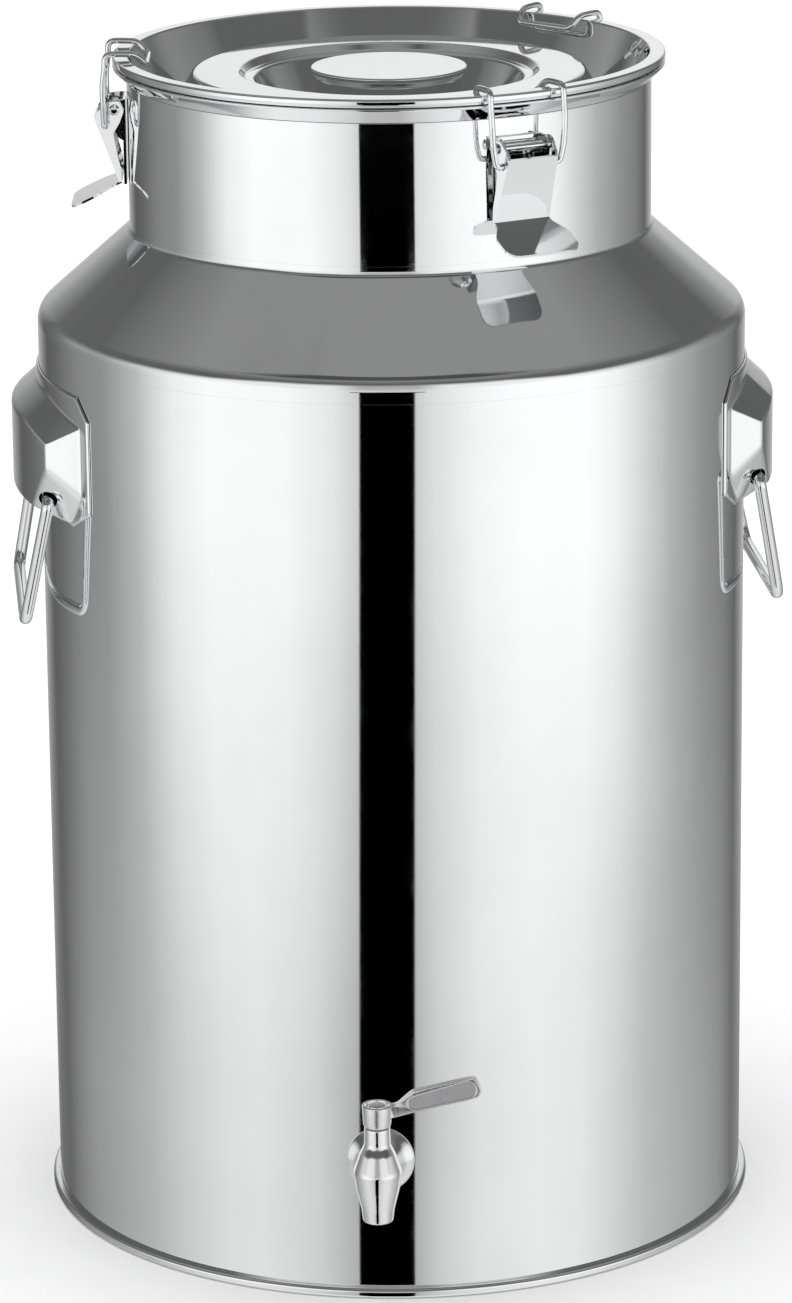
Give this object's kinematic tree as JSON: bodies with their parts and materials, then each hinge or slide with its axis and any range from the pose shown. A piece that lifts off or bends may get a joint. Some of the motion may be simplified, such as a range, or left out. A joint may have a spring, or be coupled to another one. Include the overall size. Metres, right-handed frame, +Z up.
{
  "type": "milk can",
  "caption": "Stainless steel milk can with a recessed lid held by wire toggle latches, drop ring handles at the sides and a lever tap near the base.",
  "frame": {"origin": "centre of the underside of the base pan, where the can stands", "axes": "+Z up along the can's axis; the drop handles lie along +X and -X; -Y is the front, with the tap"},
  "size_m": [0.3786, 0.3907, 0.587],
  "materials": {
    "mirror_steel": "mirror-polished stainless steel sheet",
    "pressed_steel": "polished stainless steel pressing, slightly softer than the shells",
    "wire_steel": "bright drawn stainless steel wire",
    "cast_steel": "polished stainless steel casting",
    "silicone": "translucent white food-grade silicone, satin"
  },
  "bodies": {
    "can": {"base_pan": "pressed_steel", "foot_ring": "mirror_steel", "body_wall": "mirror_steel", "shoulder": "mirror_steel", "neck": "mirror_steel", "mouth_flare": "mirror_steel", "lid": "mirror_steel", "lid_knob": "mirror_steel", "lid_gasket": "silicone", "handle_bracket_right": "pressed_steel", "handle_bracket_left": "pressed_steel", "tap_body": "cast_steel", "tap_seal_outer": "silicone", "tap_seal_inner": "silicone", "tap_washer": "pressed_steel", "tap_nut": "cast_steel", "latch_base_front": "pressed_steel", "latch_base_left": "pressed_steel", "latch_base_back": "pressed_steel", "latch_pin_front": "wire_steel", "latch_pin_left": "wire_steel", "latch_pin_back": "wire_steel"},
    "lever_front": {"latch_lever_front": "pressed_steel"},
    "bail_front": {"latch_bail_front": "wire_steel"},
    "lever_left": {"latch_lever_left": "pressed_steel"},
    "bail_left": {"latch_bail_left": "wire_steel"},
    "lever_back": {"latch_lever_back": "pressed_steel"},
    "bail_back": {"latch_bail_back": "wire_steel"},
    "ring_right": {"handle_ring_right": "wire_steel"},
    "ring_left": {"handle_ring_left": "wire_steel"},
    "tap_handle": {"tap_lever": "cast_steel", "tap_plug": "cast_steel"}
  },
  "joints": [
    {"name": "lever_front_hinge", "type": "hinge", "parent": "can", "child": "lever_front", "pos_m": [0.05183, -0.1239, 0.5573], "axis": [-0.9225, -0.3859, 0], "range_deg": [0, 120]},
    {"name": "bail_front_hinge", "type": "hinge", "parent": "lever_front", "child": "bail_front", "pos_m": [0.05366, -0.12827, 0.54941], "axis": [-0.9225, -0.3859, 0], "range_deg": [-166, 0]},
    {"name": "lever_left_hinge", "type": "hinge", "parent": "can", "child": "lever_left", "pos_m": [-0.13379, 0.01171, 0.5573], "axis": [0.0872, 0.9962, 0], "range_deg": [0, 120]},
    {"name": "bail_left_hinge", "type": "hinge", "parent": "lever_left", "child": "bail_left", "pos_m": [-0.13851, 0.01212, 0.54941], "axis": [0.0872, 0.9962, 0], "range_deg": [-166, 0]},
    {"name": "lever_back_hinge", "type": "hinge", "parent": "can", "child": "lever_back", "pos_m": [0.09822, 0.09159, 0.5573], "axis": [0.682, -0.7314, 0], "range_deg": [0, 120]},
    {"name": "bail_back_hinge", "type": "hinge", "parent": "lever_back", "child": "bail_back", "pos_m": [0.10169, 0.09482, 0.54941], "axis": [0.682, -0.7314, 0], "range_deg": [-166, 0]},
    {"name": "ring_right_swing", "type": "hinge", "parent": "can", "child": "ring_right", "pos_m": [0.174, 0, 0.378], "axis": [0, -1, 0], "range_deg": [0, 80]},
    {"name": "ring_left_swing", "type": "hinge", "parent": "can", "child": "ring_left", "pos_m": [-0.174, 0, 0.378], "axis": [0, 1, 0], "range_deg": [0, 80]},
    {"name": "tap_turn", "type": "hinge", "parent": "can", "child": "tap_handle", "pos_m": [-0.02895, -0.20092, 0.104], "axis": [0, 0, 1], "range_deg": [-90, 0]}
  ],
  "couplings": [
    {"joint": "bail_front_hinge", "follows": "lever_front_hinge", "ratio": -1.38},
    {"joint": "bail_left_hinge", "follows": "lever_left_hinge", "ratio": -1.38},
    {"joint": "bail_back_hinge", "follows": "lever_back_hinge", "ratio": -1.38}
  ]
}
